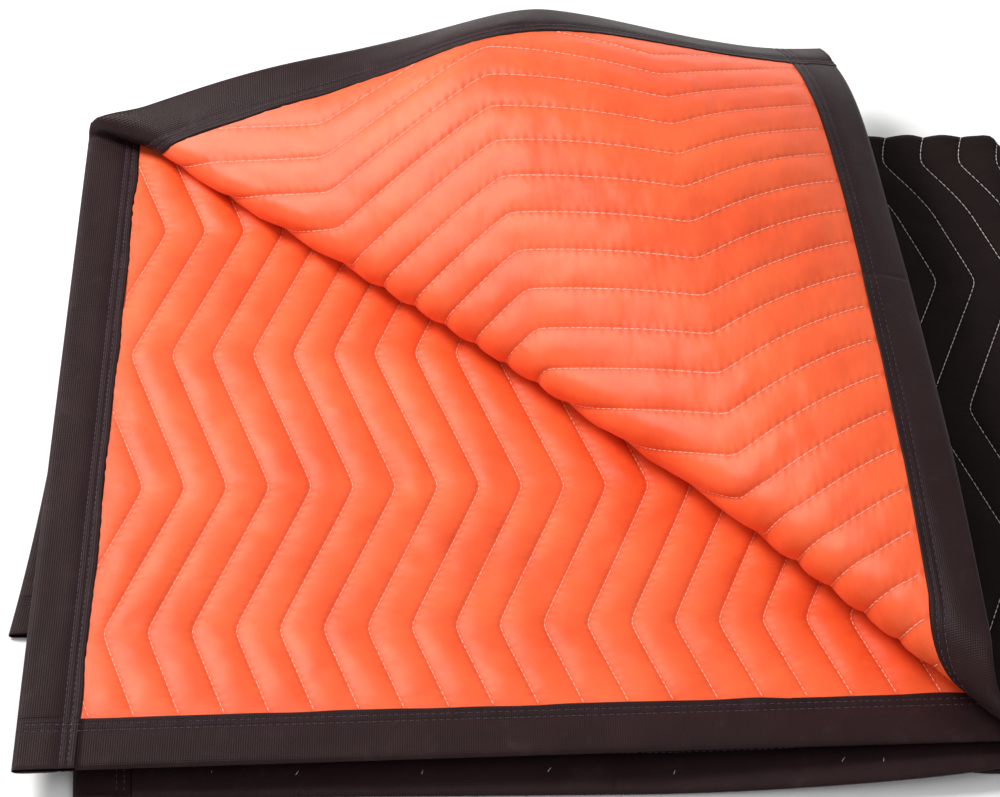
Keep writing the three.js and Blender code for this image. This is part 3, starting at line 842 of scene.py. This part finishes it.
# A straight line from (u, start), moving u by slant for each step of s.
def alongTail(u, slant, start):
    def at(s):
        return u + slant * (s - start), s
    return at


# Height of a thread end: above the strip's seam.
def onTail(u, v):
    return tails["height"] + 0 * u


# Each stretch of each quilting line as (path, reach, side, height).
def quiltPaths(side, lines, vFrom, vTo, uTo):
    return [(alongLine(line), run, side, onCloth) for line in lines for run in lineRuns(line, vFrom, vTo, uTo)]


clear = binding["width"] + 1
facePaths = quiltPaths(1, thread["faceLines"], clear, cut["depth"] - clear, sideFold["start"])
backPaths = quiltPaths(-1, thread["backLines"], thread["backFrom"], cut["depth"] - clear, cut["width"] - clear)
faceSeams = stitches("faceSeams", facePaths, thread["quiltPitch"], thread["quiltLength"],
                     thread["radius"], paleThread)
backSeams = stitches("backSeams", backPaths, thread["quiltPitch"], thread["quiltLength"],
                     thread["backRadius"], greyThread)


# Where a row of stitches lies on a strip; the end strips' rows cross over the side strips.
def seamLift(where, u, v):
    lift = thread["tapeHeight"] + acrossStrip(where, v if isSide(where) else u)
    if isSide(where):
        return lift
    profile = np.array(strip["profile"])[::-1]
    inSide = np.minimum(u, cut["width"] - u)
    return np.where(inSide < binding["width"], np.interp(inSide, profile[:, 0], profile[:, 1]) - 0.5, lift)


# Thread ends left where the quilting lines run out under the front strip.
tails = {"lines": (27, 28, 29, 31, 33, 35, 36, 38, 39, 40, 41, 42, 44), "from": 19.0, "length": 4.6, "height": 4.2}
tailPaths = []
for line in tails["lines"]:
    slant = rng.uniform(-0.9, 0.3)
    start = tails["from"] + rng.uniform(-3, 5)
    tail = alongTail(float(lineAt(line, 0.0)), slant, start)
    tailPaths.append((tail, (start, start + tails["length"]), -1, onTail))
stitches("threadEnds", tailPaths, tails["length"], tails["length"], thread["tapeRadius"], greyThread)

tapePaths = []
for where in strip["joints"]:
    reach = (thread["tapeEnd"], edgeLength(where) - thread["tapeEnd"])
    for row in strip["rows"]:
        tapePaths += [(alongEdge(where, row), reach, side, onStrip(where)) for side in (1, -1)]
stitches("tapeSeams", tapePaths, thread["tapePitch"], thread["tapeLength"],
         thread["tapeRadius"], tapeThread)
report("stitches")

# Floor and light, in metres
room = {"half": 6.0, "floor": (0.92, 0.92, 0.92, 1), "paler": (0.96, 0.96, 0.96, 1), "rough": 0.9, "sky": 0.55}
floorMesh = bpy.data.meshes.new("floor")
corners = [(x * room["half"], y * room["half"], 0) for x, y in ((-1, -1), (1, -1), (1, 1), (-1, 1))]
floorMesh.from_pydata(corners, [], [(0, 1, 2, 3)])
paper = Graph("floorPaper")
mottle = paper.noise(paper.node("ShaderNodeTexCoord", output=3), 3.0)
floorMesh.materials.append(paper.finish(paper.node("ShaderNodeBsdfPrincipled", {}, {
    "Base Color": paper.mix(mottle, room["floor"], room["paler"]), "Roughness": room["rough"],
})))
floor = newObject("floor", floorMesh)

world = bpy.data.worlds.new("softWhite")
world.use_nodes = True
sky = world.node_tree.nodes["Background"]
sky.inputs["Color"].default_value = (1.0, 1.0, 1.0, 1.0)
sky.inputs["Strength"].default_value = room["sky"]
bpy.context.scene.world = world

lights = [
    {"name": "key", "at": (-2.9, 1.7, 2.9), "size": 1.5, "power": 222.0, "colour": (1.0, 0.985, 0.96)},
    {"name": "fill", "at": (2.8, -2.4, 3.2), "size": 3.0, "power": 30.0, "colour": (0.95, 0.97, 1.0)},
]
for lamp in lights:
    data = bpy.data.lights.new(lamp["name"], "AREA")
    data.size = lamp["size"]
    data.energy = lamp["power"]
    data.color = lamp["colour"]
    obj = newObject(lamp["name"], data)
    obj.location = lamp["at"]
    obj.rotation_euler = (-Vector(lamp["at"])).to_track_quat("-Z", "Y").to_euler()

# The camera stands in the folded pad's own x and y, in millimetres.
view = {"at": (448.4, -1931.2, 2460.9), "turn": 0.0104, "down": math.radians(45), "sensor": 36.0, "lens": 115.2}
level = math.cos(view["down"])
forward = Vector((math.sin(view["turn"]) * level, math.cos(view["turn"]) * level, -math.sin(view["down"])))
right = Vector((math.cos(view["turn"]), -math.sin(view["turn"]), 0))
up = right.cross(forward)
cameraData = bpy.data.cameras.new("camera")
cameraData.sensor_width = view["sensor"]
cameraData.lens = view["lens"]
camera = newObject("camera", cameraData)
place = (Vector(view["at"]) - Vector((*cut["centre"], 0))) / 1000
camera.matrix_world = Matrix.Translation(place) @ Matrix((right, up, -forward)).transposed().to_4x4()
bpy.context.scene.camera = camera
bpy.context.scene.view_settings.view_transform = "Standard"
report("light and camera")
